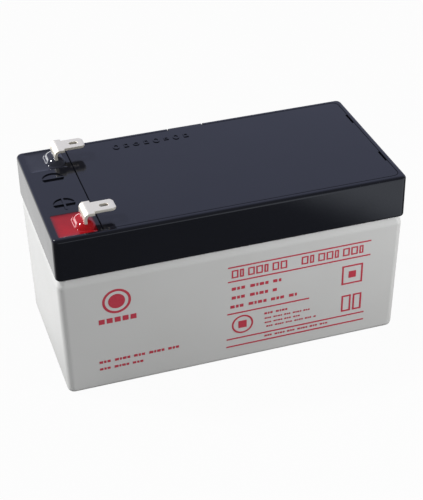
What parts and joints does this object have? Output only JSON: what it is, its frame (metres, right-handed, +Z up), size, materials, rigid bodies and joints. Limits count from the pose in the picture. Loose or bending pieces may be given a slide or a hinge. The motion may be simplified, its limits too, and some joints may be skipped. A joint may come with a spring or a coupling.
{
  "type": "sealed lead acid battery",
  "caption": "Sealed lead acid battery with a light grey container, a dark lid with a flush cover plate and a pair of push-on tab terminals set in resin.",
  "frame": {"origin": "middle of the underside, on the surface that the battery stands on", "axes": "+X along the length away from the terminals, -Y out of the printed front face, +Z up"},
  "size_m": [0.097, 0.048, 0.0545],
  "materials": {
    "tub_abs": "fine satin moulding, light grey",
    "lid_abs": "semi-gloss moulding, blue-black",
    "plate_abs": "satin moulding, blue-black",
    "valve_rubber": "soft matte black",
    "tinned_brass": "tin plated, bright satin",
    "red_resin": "poured, glossy red",
    "black_resin": "poured, glossy black",
    "cast_lead": "dull cast lead",
    "lead_dioxide": "pasted, dark brown",
    "sponge_lead": "pasted, dull grey",
    "glass_mat": "white glass fibre felt"
  },
  "bodies": {
    "root": {"container": "tub_abs", "lid": "lid_abs", "cover_plate": "plate_abs", "valve_cap_1": "valve_rubber", "valve_cap_2": "valve_rubber", "valve_cap_3": "valve_rubber", "valve_cap_4": "valve_rubber", "valve_cap_5": "valve_rubber", "valve_cap_6": "valve_rubber", "positive_terminal": "tinned_brass", "negative_terminal": "tinned_brass", "positive_resin": "red_resin", "negative_resin": "black_resin", "positive_end_post": "cast_lead", "negative_end_post": "cast_lead", "cell_connector_1": "cast_lead", "cell_connector_2": "cast_lead", "cell_connector_3": "cast_lead", "cell_connector_4": "cast_lead", "cell_connector_5": "cast_lead", "cell_1_positive_plates": "lead_dioxide", "cell_1_negative_plates": "sponge_lead", "cell_1_separators": "glass_mat", "cell_2_positive_plates": "lead_dioxide", "cell_2_negative_plates": "sponge_lead", "cell_2_separators": "glass_mat", "cell_3_positive_plates": "lead_dioxide", "cell_3_negative_plates": "sponge_lead", "cell_3_separators": "glass_mat", "cell_4_positive_plates": "lead_dioxide", "cell_4_negative_plates": "sponge_lead", "cell_4_separators": "glass_mat", "cell_5_positive_plates": "lead_dioxide", "cell_5_negative_plates": "sponge_lead", "cell_5_separators": "glass_mat", "cell_6_positive_plates": "lead_dioxide", "cell_6_negative_plates": "sponge_lead", "cell_6_separators": "glass_mat"}
  },
  "joints": []
}
